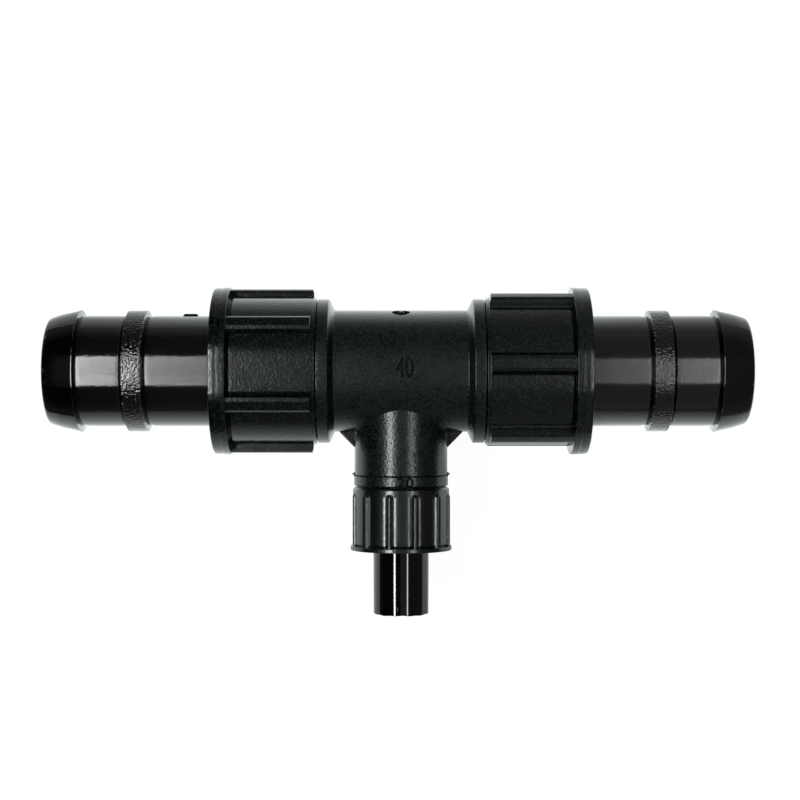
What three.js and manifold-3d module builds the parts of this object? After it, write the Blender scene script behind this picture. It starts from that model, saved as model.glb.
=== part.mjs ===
// A plastic reducing tee for pipe work: a tee body, and on each of its three male threads a union of
// a loose nut, a hose tail and a flat rubber washer. Millimetres, +Z up.
// The run lies along X, the branch points along -Y, and the origin is under the middle of the box.
import * as THREE from "three";
import { mergeVertices } from "three/addons/utils/BufferGeometryUtils.js";
import Module from "manifold-3d";

const wasm = await Module();
wasm.setup();

// Fineness of the round shapes. Each number is a multiple of four, so every circle has a corner on
// each axis.
const runSides = 32;
const branchSides = 24;
const runThreadSides = 24;
const branchThreadSides = 20;
const smallSides = 12;
const cornerSteps = 3;

// Every cut runs past the piece that it cuts, and every joined feature runs into its carrier, by this.
const overrun = 1;

// The gap on each side of a washer, and between a tail's flange and the shoulder of its nut.
const seatGap = 0.3;

// Tee body, run tube. Reaches are measured from the middle of the tee along the run.
const runTubeRadius = 21.2;
const runTubeWall = 3.2;
const runCollarStart = 25;
const runCollarChamferLength = 1.9;
const runCollarLength = 3.8;
const runCollarHeight = 3.9;
const runSpigotLength = 24.9;

// Run threads: parallel pipe thread, 11 turns to the inch, 1 1/2 inch size.
const runThreadPitch = 2.309;
const runThreadRootHeight = 3.1;
const runThreadDepth = 1.45;
const runThreadCrestWidth = 0.35;
const runMaleThreadSetback = 9;
const runMaleTurns = 6.5;
const runThreadSideGap = 0.2;
const runThreadRootGap = 0.32;
const runThreadCrestGap = 0.35;
const runFemaleTurns = 5;
const runFemalePitchesBack = 1.5;

// Run nut.
const runMouthGap = 0.4;
const runNutWall = 1.6;
const runNutEndPlate = 3;
const runNutHoleGap = 0.15;
const runNutFlangeHeight = 3.35;
const runNutFlangeThickness = 5.7;
const runNutFlangeDraft = 1.2;
const runNutFlangeChamfer = 0.6;
const runRibCount = 6;
const runRibHeight = 2.7;
const runRibBaseWidth = 6.2;
const runRibSetback = 1.1;
const leftRibTurn = THREE.MathUtils.degToRad(5);
const rightRibTurn = THREE.MathUtils.degToRad(4.5);

// Run washer and tail. Each run union is left a little loose, and the float is how far its tail can
// slide each way in the nut. The left tail lies all the way out, and the right one all the way in.
const runTailFloat = 1.05;
const runWasherThickness = 3;
const runWasherGap = 0.5;
const runWasherBoreGap = 1;
const runTailFlangeGap = 0.4;
const runTailFlangeThickness = 2.1;
const runTailRadius = 19.3;
const runTailWall = 3.3;
const runTailLength = 56.6;
const runMidBarbSetback = 21.6;
const runMidBarbLength = 7.7;
const runMidBarbHeight = 1.8;
const runMidBarbRiseLength = 0.8;
const runMidBarbFallLength = 0.4;
const runEndBarbSetback = 11.6;
const runEndBarbRiseLength = 0.8;
const runEndBarbLand = 0.2;
const runEndBarbHeight = 2;
const runNoseKneeSetback = 4.4;
const runNoseKneeHeight = 0.6;
const runNoseFrontDrop = 0.8;
const runNoseCorner = 1.4;
const runGateNubSetback = 4.85;
const runGateNubLength = 5.4;
const runGateNubWidth = 3;
const runGateNubHeight = 0.7;

// Tee body, branch tube. Reaches are measured from the middle of the tee along the branch.
const branchTubeRadius = 16.2;
const branchTubeWall = 3.2;
const branchBoreStepSetback = 0.6;
const branchSpigotWall = 2.56;
const branchCollarStart = 36.6;
const branchCollarLength = 3.65;
const branchCollarHeight = 0.22;
const branchSpigotLength = 14.05;
const branchPipHeight = 0.7;
const branchPipLength = 1.2;
const branchPipWidth = 1.6;

// Branch threads: parallel pipe thread, 14 turns to the inch, 3/4 inch size.
const branchThreadPitch = 1.814;
const branchThreadRootHeight = 2.36;
const branchThreadDepth = 1.09;
const branchThreadCrestWidth = 0.3;
const branchMaleThreadSetback = 5.75;
const branchMaleTurns = 4;
const branchThreadSideGap = 0.15;
const branchThreadRootGap = 0.29;
const branchThreadCrestGap = 0.3;
const branchFemaleTurns = 4;
const branchFemalePitchesBack = 1.5;

// Branch nut.
const branchMouthGap = 0.35;
const branchNutWall = 3.4;
const branchNutEndPlate = 2.9;
const branchNutHoleGap = 0.25;
const branchNutFlangeHeight = 1;
const branchNutFlangeThickness = 1.4;
const branchNutFlangeDraft = 0.1;
const branchNutFlangeChamfer = 0.3;
const branchRibCount = 12;
const branchRibHeight = 0.65;
const branchRibBaseWidth = 1.4;
const branchRibSetback = 2.45;

// Branch washer and tail.
const branchWasherThickness = 1.8;
const branchWasherGap = 0.45;
const branchWasherBoreGap = 0.8;
const branchTailFlangeGap = 0.35;
const branchTailFlangeThickness = 2.5;
const branchTailRadius = 9.7;
const branchTailTaper = 0.1;
const branchTailWall = 2.5;
const branchTailLength = 22.4;

// Webs between the run and the branch, and the moulding gate's dimple on the back of the run.
const webLength = 5.4;
const webThickness = 3.5;
const dimpleRadius = 3;
const dimpleDepth = 1.2;
const dimpleTilt = THREE.MathUtils.degToRad(12);
const dimpleNibRadius = 0.7;
const dimpleNibRise = 0.35;

// A rib's section as shares of its base width and of its height: straight drafted sides up to a
// shoulder, and a crowned top with a narrow flat.
const ribShoulderWidthShare = 0.72;
const ribShoulderHeightShare = 0.7;
const ribFlatWidthShare = 0.37;

// Angle of each flank of a pipe thread to a line square to its axis.
const flankSlope = Math.tan(THREE.MathUtils.degToRad(27.5));

// How far a thread's ridge, and a rib or a pad, is sunk into the round wall that carries it.
const ridgeSink = 0.4;
const ribSink = 1.2;

// Corners nearer than this are one corner.
const cornerMerge = 1e-4;

// The geometry as a solid that can be joined and cut.
function solidOf(geometry) {
  const bare = geometry.clone();
  bare.deleteAttribute("normal");
  bare.deleteAttribute("uv");
  const merged = mergeVertices(bare, cornerMerge);
  const triVerts = new Uint32Array(merged.index.array);
  const vertProperties = new Float32Array(merged.attributes.position.array);
  return new wasm.Manifold(new wasm.Mesh({ numProp: 3, vertProperties, triVerts }));
}

function geometryOf(solid) {
  const mesh = solid.getMesh();
  const geometry = new THREE.BufferGeometry();
  geometry.setAttribute("position", new THREE.BufferAttribute(mesh.vertProperties, mesh.numProp));
  geometry.setIndex(new THREE.BufferAttribute(mesh.triVerts, 1));
  geometry.computeVertexNormals();
  return geometry;
}

// A round solid about +Z. The profile lists [reach, radius] points that close on themselves, first
// outwards along the bore or the axis, and then back along the outside.
function turned(profile, sides) {
  const points = [...profile, profile[0]].map(([reach, radius]) => new THREE.Vector2(radius, reach));
  return new THREE.LatheGeometry(points.reverse(), sides).rotateX(Math.PI / 2);
}

// A plain cylinder about +Z from one reach to another, to cut with or to join.
function plug(from, to, radius, sides) {
  return turned([[from, 0], [to, 0], [to, radius], [from, radius]], sides);
}

// A right-handed thread ridge about +Z, as one closed body. Its foot, of the sunk width, is hidden
// inside the wall that carries it, and it narrows to its tip. A tip inside the foot is a female thread's.
function threadRidge({ start, turns, pitch, sides, sunkRadius, sunkWidth, tipRadius, tipWidth }) {
  const steps = Math.round(turns * sides);
  const corners = [
    [-sunkWidth, sunkRadius],
    [-tipWidth, tipRadius],
    [tipWidth, tipRadius],
    [sunkWidth, sunkRadius],
  ];
  const position = [];
  const index = [];
  for (let step = 0; step <= steps; step++) {
    const angle = (step / sides) * 2 * Math.PI;
    for (const [width, radius] of corners) {
      const reach = start + (pitch * step) / sides + width / 2;
      position.push(radius * Math.cos(angle), radius * Math.sin(angle), reach);
    }
  }
  const facesOut = tipRadius > sunkRadius;
  const triangle = (a, b, c) => index.push(...(facesOut ? [a, b, c] : [a, c, b]));
  for (let step = 0; step < steps; step++) {
    for (let corner = 0; corner < 4; corner++) {
      const here = step * 4 + corner;
      const next = step * 4 + ((corner + 1) % 4);
      triangle(here, next + 4, next);
      triangle(here, here + 4, next + 4);
    }
  }
  const last = steps * 4;
  triangle(0, 1, 2);
  triangle(0, 2, 3);
  triangle(last, last + 2, last + 1);
  triangle(last, last + 3, last + 2);
  const geometry = new THREE.BufferGeometry();
  geometry.setAttribute("position", new THREE.Float32BufferAttribute(position, 3));
  geometry.setIndex(index);
  return geometry;
}

// The sizes of one union that follow from its named ones, from the tee's collar out to the end of its
// tail. Every reach is measured from the middle of the tee.
function unionSizes(named) {
  const collarReach = named.collarStart + named.collarLength;
  const spigotReach = collarReach + named.spigotLength;
  const maleThreadStart = collarReach + named.maleThreadSetback;
  const maleCrestRadius = named.threadRootRadius + named.threadDepth;
  const femaleCrestRadius = named.threadRootRadius + named.threadRootGap;
  const femaleRootRadius = maleCrestRadius + named.threadCrestGap;
  const nutRadius = femaleRootRadius + named.nutWall;
  const nutFlangeRadius = nutRadius + named.nutFlangeHeight;
  const nutHoleRadius = named.tailWidestRadius + named.nutHoleGap;
  const washerRadius = femaleCrestRadius - named.washerGap;
  const tailFlangeRadius = femaleCrestRadius - named.tailFlangeGap;
  const tailBoreRadius = named.tailRadius - named.tailWall;
  const washerBoreRadius = tailBoreRadius + named.washerBoreGap;
  const washerStart = spigotReach + seatGap;
  const flangeStart = washerStart + named.washerThickness + seatGap + named.tailFloat;
  const flangeEnd = flangeStart + named.tailFlangeThickness;
  const shoulder = flangeEnd + seatGap + named.tailFloat;
  const nutReach = shoulder + named.nutEndPlate;
  const nutMouth = collarReach + named.mouthGap;
  const tailReach = nutReach + named.tailLength;
  return {
    ...named,
    collarReach,
    spigotReach,
    maleThreadStart,
    maleCrestRadius,
    femaleCrestRadius,
    femaleRootRadius,
    nutRadius,
    nutFlangeRadius,
    nutHoleRadius,
    washerRadius,
    tailFlangeRadius,
    tailBoreRadius,
    washerBoreRadius,
    washerStart,
    flangeStart,
    flangeEnd,
    shoulder,
    nutReach,
    nutMouth,
    tailReach,
  };
}

const run = unionSizes({
  sides: runSides,
  threadSides: runThreadSides,
  collarStart: runCollarStart,
  collarLength: runCollarLength,
  spigotLength: runSpigotLength,
  mouthGap: runMouthGap,
  pitch: runThreadPitch,
  threadRootRadius: runTailRadius + runThreadRootHeight,
  threadDepth: runThreadDepth,
  threadCrestWidth: runThreadCrestWidth,
  maleThreadSetback: runMaleThreadSetback,
  maleTurns: runMaleTurns,
  threadSideGap: runThreadSideGap,
  threadRootGap: runThreadRootGap,
  threadCrestGap: runThreadCrestGap,
  femaleTurns: runFemaleTurns,
  femalePitchesBack: runFemalePitchesBack,
  nutWall: runNutWall,
  nutEndPlate: runNutEndPlate,
  nutHoleGap: runNutHoleGap,
  nutFlangeHeight: runNutFlangeHeight,
  nutFlangeThickness: runNutFlangeThickness,
  nutFlangeDraft: runNutFlangeDraft,
  nutFlangeChamfer: runNutFlangeChamfer,
  ribCount: runRibCount,
  ribHeight: runRibHeight,
  ribBaseWidth: runRibBaseWidth,
  ribSetback: runRibSetback,
  washerThickness: runWasherThickness,
  washerGap: runWasherGap,
  washerBoreGap: runWasherBoreGap,
  tailFlangeGap: runTailFlangeGap,
  tailFlangeThickness: runTailFlangeThickness,
  tailFloat: runTailFloat,
  tailWidestRadius: runTailRadius + runEndBarbHeight,
  tailRadius: runTailRadius,
  tailWall: runTailWall,
  tailLength: runTailLength,
});

const branch = unionSizes({
  sides: branchSides,
  threadSides: branchThreadSides,
  collarStart: branchCollarStart,
  collarLength: branchCollarLength,
  spigotLength: branchSpigotLength,
  mouthGap: branchMouthGap,
  pitch: branchThreadPitch,
  threadRootRadius: branchTailRadius + branchThreadRootHeight,
  threadDepth: branchThreadDepth,
  threadCrestWidth: branchThreadCrestWidth,
  maleThreadSetback: branchMaleThreadSetback,
  maleTurns: branchMaleTurns,
  threadSideGap: branchThreadSideGap,
  threadRootGap: branchThreadRootGap,
  threadCrestGap: branchThreadCrestGap,
  femaleTurns: branchFemaleTurns,
  femalePitchesBack: branchFemalePitchesBack,
  nutWall: branchNutWall,
  nutEndPlate: branchNutEndPlate,
  nutHoleGap: branchNutHoleGap,
  nutFlangeHeight: branchNutFlangeHeight,
  nutFlangeThickness: branchNutFlangeThickness,
  nutFlangeDraft: branchNutFlangeDraft,
  nutFlangeChamfer: branchNutFlangeChamfer,
  ribCount: branchRibCount,
  ribHeight: branchRibHeight,
  ribBaseWidth: branchRibBaseWidth,
  ribSetback: branchRibSetback,
  washerThickness: branchWasherThickness,
  washerGap: branchWasherGap,
  washerBoreGap: branchWasherBoreGap,
  tailFlangeGap: branchTailFlangeGap,
  tailFlangeThickness: branchTailFlangeThickness,
  tailFloat: 0,
  tailWidestRadius: branchTailRadius,
  tailRadius: branchTailRadius,
  tailWall: branchTailWall,
  tailLength: branchTailLength,
});

// The width of a male thread's ridge at a radius: it tapers with both flanks to the crest.
function maleWidthAt(union, radius) {
  return union.threadCrestWidth + 2 * flankSlope * (union.maleCrestRadius - radius);
}

// The width of a female thread's ridge at a radius: what the male ridges leave, less the side gaps.
function femaleWidthAt(union, radius) {
  return union.pitch - maleWidthAt(union, radius) - 2 * union.threadSideGap;
}

// The bare spigot of one union with its male thread, about +Z, solid inside.
function spigot(union) {
  const coreStart = union.collarReach - overrun;
  const core = plug(coreStart, union.spigotReach, union.threadRootRadius, union.threadSides);
  const sunkRadius = union.threadRootRadius - ridgeSink;
  const ridge = threadRidge({
    start: union.maleThreadStart,
    turns: union.maleTurns,
    pitch: union.pitch,
    sides: union.threadSides,
    sunkRadius,
    sunkWidth: maleWidthAt(union, sunkRadius),
    tipRadius: union.maleCrestRadius,
    tipWidth: union.threadCrestWidth,
  });
  return solidOf(core).add(solidOf(ridge));
}

// The loose nut of one union, about +Z: a threaded sleeve with ribs, a flange and an end plate.
function nut(union, firstRibAngle) {
  const flangeStart = union.nutReach - union.nutFlangeThickness;
  const chamfer = union.nutFlangeChamfer;
  const sleeve = turned(
    [
      [union.nutMouth, 0],
      [union.nutReach, 0],
      [union.nutReach, union.nutFlangeRadius - chamfer],
      [union.nutReach - chamfer, union.nutFlangeRadius],
      [flangeStart, union.nutFlangeRadius],
      [flangeStart - union.nutFlangeDraft, union.nutRadius],
      [union.nutMouth, union.nutRadius],
    ],
    union.sides,
  );
  let solid = solidOf(sleeve);
  for (let rib = 0; rib < union.ribCount; rib++) {
    const angle = firstRibAngle + (rib / union.ribCount) * 2 * Math.PI;
    solid = solid.add(solidOf(nutRib(union, flangeStart).rotateZ(angle)));
  }
  const thread = plug(union.nutMouth - overrun, union.shoulder, union.femaleRootRadius, union.threadSides);
  const hole = plug(union.nutMouth, union.nutReach + overrun, union.nutHoleRadius, union.sides);
  const sunkRadius = union.femaleRootRadius + ridgeSink;
  const ridge = threadRidge({
    start: union.maleThreadStart - union.femalePitchesBack * union.pitch,
    turns: union.femaleTurns,
    pitch: union.pitch,
    sides: union.threadSides,
    sunkRadius,
    sunkWidth: femaleWidthAt(union, sunkRadius),
    tipRadius: union.femaleCrestRadius,
    tipWidth: femaleWidthAt(union, union.femaleCrestRadius),
  });
  return solid.subtract(solidOf(thread)).subtract(solidOf(hole)).add(solidOf(ridge));
}

// One rib of a nut on the +X side, from near the mouth into the flange.
function nutRib(union, flangeStart) {
  const foot = union.nutRadius - ribSink;
  const shoulder = union.nutRadius + ribShoulderHeightShare * union.ribHeight;
  const tip = union.nutRadius + union.ribHeight;
  const half = union.ribBaseWidth / 2;
  const outline = new THREE.Shape();
  outline.moveTo(foot, -half);
  outline.lineTo(union.nutRadius, -half);
  outline.lineTo(shoulder, -half * ribShoulderWidthShare);
  outline.lineTo(tip, -half * ribFlatWidthShare);
  outline.lineTo(tip, half * ribFlatWidthShare);
  outline.lineTo(shoulder, half * ribShoulderWidthShare);
  outline.lineTo(union.nutRadius, half);
  outline.lineTo(foot, half);
  const start = union.nutMouth + union.ribSetback;
  const length = flangeStart + union.nutFlangeThickness / 2 - start;
  const bar = new THREE.ExtrudeGeometry(outline, { depth: length, bevelEnabled: false });
  return bar.translate(0, 0, start);
}

// The flat rubber washer of one union, about +Z.
function washer(union) {
  const end = union.washerStart + union.washerThickness;
  const profile = [
    [union.washerStart, union.washerBoreRadius],
    [end, union.washerBoreRadius],
    [end, union.washerRadius],
    [union.washerStart, union.washerRadius],
  ];
  return turned(profile, union.sides);
}

// The barbed tail of a run union, about +Z. Its outside is listed from the end back to the flange.
function runTail(nubAngle) {
  const frontRadius = runTailRadius - runNoseFrontDrop;
  const corner = [];
  for (let step = 0; step <= cornerSteps; step++) {
    const angle = (step / cornerSteps) * (Math.PI / 2);
    const reach = run.tailReach - runNoseCorner * (1 - Math.cos(angle));
    corner.push([reach, frontRadius - runNoseCorner * (1 - Math.sin(angle))]);
  }
  const endBarbRadius = runTailRadius + runEndBarbHeight;
  const midBarbRadius = runTailRadius + runMidBarbHeight;
  const endBarb = run.tailReach - runEndBarbSetback;
  const endBarbPeak = endBarb + runEndBarbRiseLength;
  const midBarb = run.nutReach + runMidBarbSetback;
  const midBarbEnd = midBarb + runMidBarbLength;
  const body = turned(
    [
      [run.flangeStart, run.tailBoreRadius],
      [run.tailReach, run.tailBoreRadius],
      ...corner,
      [run.tailReach - runNoseKneeSetback, runTailRadius + runNoseKneeHeight],
      [endBarbPeak + runEndBarbLand, endBarbRadius],
      [endBarbPeak, endBarbRadius],
      [endBarb, runTailRadius],
      [midBarbEnd, runTailRadius],
      [midBarbEnd - runMidBarbFallLength, midBarbRadius],
      [midBarb + runMidBarbRiseLength, midBarbRadius],
      [midBarb, runTailRadius],
      [run.flangeEnd, runTailRadius],
      [run.flangeEnd, run.tailFlangeRadius],
      [run.flangeStart, run.tailFlangeRadius],
    ],
    run.sides,
  );
  return solidOf(body).add(solidOf(gateNub(nubAngle)));
}

// The low pad where the tail's moulding gate was, between the nut and the mid barb.
function gateNub(angle) {
  const tip = runTailRadius + runGateNubHeight;
  const foot = runTailRadius - ribSink;
  const start = run.nutReach + runGateNubSetback;
  const outline = new THREE.Shape();
  outline.moveTo(foot, start);
  outline.lineTo(tip, start + runGateNubHeight);
  outline.lineTo(tip, start + runGateNubLength - runGateNubHeight);
  outline.lineTo(foot, start + runGateNubLength);
  const pad = new THREE.ExtrudeGeometry(outline, { depth: runGateNubWidth, bevelEnabled: false });
  return pad.translate(0, 0, -runGateNubWidth / 2).rotateX(Math.PI / 2).rotateZ(angle);
}

// The plain tail of the branch union, about +Z.
function branchTail() {
  return turned(
    [
      [branch.flangeStart, branch.tailBoreRadius],
      [branch.tailReach, branch.tailBoreRadius],
      [branch.tailReach, branchTailRadius - branchTailTaper],
      [branch.flangeEnd, branchTailRadius],
      [branch.flangeEnd, branch.tailFlangeRadius],
      [branch.flangeStart, branch.tailFlangeRadius],
    ],
    branch.sides,
  );
}

// Turns a solid that is built about +Z towards one of the tee's three ends.
const turnToRight = new THREE.Euler(0, Math.PI / 2, 0);
const turnToLeft = new THREE.Euler(0, -Math.PI / 2, 0);
const turnToBranch = new THREE.Euler(Math.PI / 2, 0, 0);

function turnedTo(euler, solid) {
  const matrix = new THREE.Matrix4().makeRotationFromEuler(euler);
  return solidOf(geometryOf(solid).applyMatrix4(matrix));
}

// The tee's run tube about +Z with the chamfered collar at both ends, solid inside.
function runTube() {
  const half = [
    [run.collarReach, runTubeRadius + runCollarHeight],
    [runCollarStart, runTubeRadius + runCollarHeight],
    [runCollarStart - runCollarChamferLength, runTubeRadius],
  ];
  const otherHalf = half.map(([reach, radius]) => [-reach, radius]).reverse();
  const profile = [[-run.collarReach, 0], [run.collarReach, 0], ...half, ...otherHalf];
  return turned(profile, runSides);
}

// The tee's branch tube about +Z with its collar, solid inside, and a pip of flash on each side.
function branchTube() {
  const collarRadius = branchTubeRadius + branchCollarHeight;
  const tube = turned(
    [
      [0, 0],
      [branch.collarReach, 0],
      [branch.collarReach, collarRadius],
      [branchCollarStart, collarRadius],
      [branchCollarStart, branchTubeRadius],
      [0, branchTubeRadius],
    ],
    branchSides,
  );
  const outline = new THREE.Shape();
  outline.moveTo(branchTubeRadius - ribSink, branchCollarStart - branchPipLength);
  outline.lineTo(branchTubeRadius, branchCollarStart - branchPipLength);
  outline.lineTo(branchTubeRadius + branchPipHeight, branchCollarStart - branchPipLength / 2);
  outline.lineTo(collarRadius, branchCollarStart);
  outline.lineTo(branchTubeRadius - ribSink, branchCollarStart);
  const pip = new THREE.ExtrudeGeometry(outline, { depth: branchPipWidth, bevelEnabled: false });
  pip.translate(0, 0, -branchPipWidth / 2).rotateX(Math.PI / 2);
  const otherPip = pip.clone().rotateZ(Math.PI);
  return solidOf(tube).add(solidOf(pip)).add(solidOf(otherPip));
}

// The two flat webs that brace the branch, as one outline from side to side.
function webs() {
  const side = branchTubeRadius + webLength;
  const end = runTubeRadius + webLength;
  const outline = new THREE.Shape();
  outline.moveTo(-side, 0);
  outline.lineTo(side, 0);
  outline.lineTo(side, -runTubeRadius);
  outline.lineTo(branchTubeRadius, -end);
  outline.lineTo(-branchTubeRadius, -end);
  outline.lineTo(-side, -runTubeRadius);
  const plate = new THREE.ExtrudeGeometry(outline, { depth: webThickness, bevelEnabled: false });
  return plate.translate(0, 0, -webThickness / 2);
}

// The tee body: tubes, webs and spigots joined, then bored through.
function teeBody() {
  const floor = runTubeRadius - dimpleDepth;
  const dimple = plug(floor, runTubeRadius + overrun, dimpleRadius, smallSides);
  const nib = plug(floor - overrun, runTubeRadius + dimpleNibRise, dimpleNibRadius, smallSides);
  for (const gateMark of [dimple, nib]) {
    gateMark.rotateX(-Math.PI / 2 + dimpleTilt);
  }
  const outside = solidOf(runTube().rotateY(Math.PI / 2))
    .add(turnedTo(turnToBranch, branchTube()))
    .add(solidOf(webs()))
    .add(turnedTo(turnToRight, spigot(run)))
    .add(turnedTo(turnToLeft, spigot(run)))
    .add(turnedTo(turnToBranch, spigot(branch)));
  const runReach = run.spigotReach + overrun;
  const runBore = plug(-runReach, runReach, runTubeRadius - runTubeWall, runSides).rotateY(Math.PI / 2);
  const branchReach = branch.spigotReach + overrun;
  const stepReach = branchCollarStart - branchBoreStepSetback;
  const spigotBoreRadius = branch.threadRootRadius - branchSpigotWall;
  const branchBore = turned(
    [
      [0, 0],
      [branchReach, 0],
      [branchReach, spigotBoreRadius],
      [stepReach, spigotBoreRadius],
      [stepReach, branchTubeRadius - branchTubeWall],
      [0, branchTubeRadius - branchTubeWall],
    ],
    branchSides,
  ).rotateX(Math.PI / 2);
  return outside
    .subtract(solidOf(runBore))
    .subtract(solidOf(branchBore))
    .subtract(solidOf(dimple))
    .add(solidOf(nib));
}

const plastic = { color: 0x17191a, roughness: 0.5, metalness: 0 };
const tailPlastic = { color: 0x151617, roughness: 0.4, metalness: 0 };
const cutPipePlastic = { color: 0x101112, roughness: 0.25, metalness: 0 };
const rubber = { color: 0x0c0c0c, roughness: 0.85, metalness: 0 };

function piece(name, geometry, finish) {
  const mesh = new THREE.Mesh(geometry, new THREE.MeshStandardMaterial(finish));
  mesh.name = name;
  return mesh;
}

// The nut, tail and washer of one union, turned to face their end of the tee.
function unionGroup(side, union, euler, nutSolid, tailSolid, tailFinish) {
  const group = new THREE.Group();
  group.setRotationFromEuler(euler);
  group.add(piece(`${side}_nut`, geometryOf(nutSolid), plastic));
  group.add(piece(`${side}_tail`, geometryOf(tailSolid), tailFinish));
  group.add(piece(`${side}_washer`, geometryOf(solidOf(washer(union))), rubber));
  return group;
}

// Seen from above, the left nut shows a rib on each side of its middle and the right nut one near it,
// and the left tail's nub is at the back while the right tail's is underneath.
const leftRibAngle = Math.PI / runRibCount + leftRibTurn;
const rightRibAngle = -rightRibTurn;
const branchRibAngle = Math.PI / 2 + Math.PI / branchRibCount;
const leftNubAngle = Math.PI / 2;
const rightNubAngle = 0;

// The middle of the tee stands beside the middle of the box, because one run tail lies out and the
// other lies in, and the nut flanges stand on the ground.
const middleAside = runTailFloat;
const middleOffset = (branch.tailReach - run.nutFlangeRadius) / 2;
const middleHeight = run.nutFlangeRadius;

const leftTail = runTail(leftNubAngle).translate([0, 0, runTailFloat]);
const rightTail = runTail(rightNubAngle).translate([0, 0, -runTailFloat]);
const branchNut = nut(branch, branchRibAngle);

const tee = new THREE.Group();
tee.position.set(middleAside, middleOffset, middleHeight);
tee.add(piece("tee_body", geometryOf(teeBody()), plastic));
tee.add(unionGroup("left", run, turnToLeft, nut(run, leftRibAngle), leftTail, tailPlastic));
tee.add(unionGroup("right", run, turnToRight, nut(run, rightRibAngle), rightTail, tailPlastic));
tee.add(unionGroup("branch", branch, turnToBranch, branchNut, solidOf(branchTail()), cutPipePlastic));

export default tee;
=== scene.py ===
# %% [markdown]
# # A reducing tee fitting with union nuts and hose tails
# The CAD frame already holds the ten pieces at their true places. This lesson rebuilds each piece as a
# finer mesh in the same place, gives it a moulded plastic finish, and lights it as the photograph is lit.
# Every piece is made about its own axis in millimetres, and then turned towards its end of the tee.

# %% The frame that everything rides on
import math
from collections import namedtuple

import bmesh
import bpy
import numpy as np
from mathutils import Matrix, Vector


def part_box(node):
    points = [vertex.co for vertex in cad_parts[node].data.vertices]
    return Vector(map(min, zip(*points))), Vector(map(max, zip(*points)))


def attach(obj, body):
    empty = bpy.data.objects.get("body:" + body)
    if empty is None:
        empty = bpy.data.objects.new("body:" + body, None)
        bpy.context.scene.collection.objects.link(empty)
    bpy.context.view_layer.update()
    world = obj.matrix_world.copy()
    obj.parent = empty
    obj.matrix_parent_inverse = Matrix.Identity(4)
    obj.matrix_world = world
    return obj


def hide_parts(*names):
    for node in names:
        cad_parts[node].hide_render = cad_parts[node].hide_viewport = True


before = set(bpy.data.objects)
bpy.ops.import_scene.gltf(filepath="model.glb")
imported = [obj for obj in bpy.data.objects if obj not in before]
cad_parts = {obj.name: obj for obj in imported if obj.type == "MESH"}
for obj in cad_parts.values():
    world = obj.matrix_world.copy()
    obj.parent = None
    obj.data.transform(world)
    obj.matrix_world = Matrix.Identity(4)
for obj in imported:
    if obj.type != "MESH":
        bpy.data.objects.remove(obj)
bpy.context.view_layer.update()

# %% [markdown]
# ## The middle of the tee and its three ends
# The nuts are round, so the middle of a nut's box lies on its axis. The run's axis is read from a run nut
# and the branch's from the branch nut, which keeps the scene and the CAD together. Each end of the tee is
# then a turn of one local axis, +Z, which points out of that end.

# %% Axis and ends
MM = 0.001
nut_low, nut_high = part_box("right_nut")
RUN_AXIS_Y = (nut_low[1] + nut_high[1]) / 2
RUN_AXIS_Z = (nut_low[2] + nut_high[2]) / 2
branch_low, branch_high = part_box("branch_nut")
BRANCH_AXIS_X = (branch_low[0] + branch_high[0]) / 2
MIDDLE = Vector((BRANCH_AXIS_X, RUN_AXIS_Y, RUN_AXIS_Z))
ENDS = {
    "right": Matrix.Rotation(math.pi / 2, 4, "Y"),
    "left": Matrix.Rotation(-math.pi / 2, 4, "Y"),
    "branch": Matrix.Rotation(math.pi / 2, 4, "X"),
}
print("middle of the tee", [round(v, 5) for v in MIDDLE])

# %% [markdown]
# ## Outlines for turned pieces
# Nearly every piece here is round, so it starts as an outline that is swept about an axis. A modifier could
# do the sweep, but ribs and threads need the radius to change with the angle as well. So each outline
# becomes rows of points, and each row is a ring whose radius can change point by point. The corners
# are softened here, because no moulded edge is perfectly sharp and a soft edge catches the light.

# %% Outline helper
CORNER_STEPS = 4


def full_corner(reach, radius, soft=0, step=1.0, zone=""):
    return reach, radius, soft, step, zone


def outline(corners, closed=True):
    """Rows of (reach, radius, zone) from corners of (reach, radius, softening, row step, zone)."""
    corners = [full_corner(*corner) for corner in corners]
    rows = []
    for index, (reach, radius, soft, step, zone) in enumerate(corners):
        here = Vector((reach, radius))
        before = Vector(corners[index - 1][:2])
        following = corners[(index + 1) % len(corners)]
        after = Vector(following[:2])
        if soft:
            start = here + (before - here).normalized() * soft
            end = here + (after - here).normalized() * soft
            for part in range(CORNER_STEPS + 1):
                t = part / CORNER_STEPS
                point = start * (1 - t) ** 2 + here * 2 * t * (1 - t) + end * t**2
                rows.append((point.x, point.y, zone))
        else:
            end = here
            rows.append((reach, radius, zone))
        if index == len(corners) - 1 and not closed:
            break
        stop = after + (here - after).normalized() * following[2]
        parts = max(1, math.ceil((stop - end).length / step - 1e-6))
        for part in range(1, parts):
            point = end.lerp(stop, part / parts)
            rows.append((point.x, point.y, zone))
    return rows


# %% [markdown]
# ## Sweeping an outline
# The rows times the angles make a grid of four-sided faces. A closed outline gives a ring-shaped solid with
# its bore in it, and an open one is capped at both ends to make a solid plug for cutting and joining.

# %% Sweep helper
TAU = 2 * math.pi


def even_angles(count):
    return np.arange(count) * TAU / count


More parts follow.
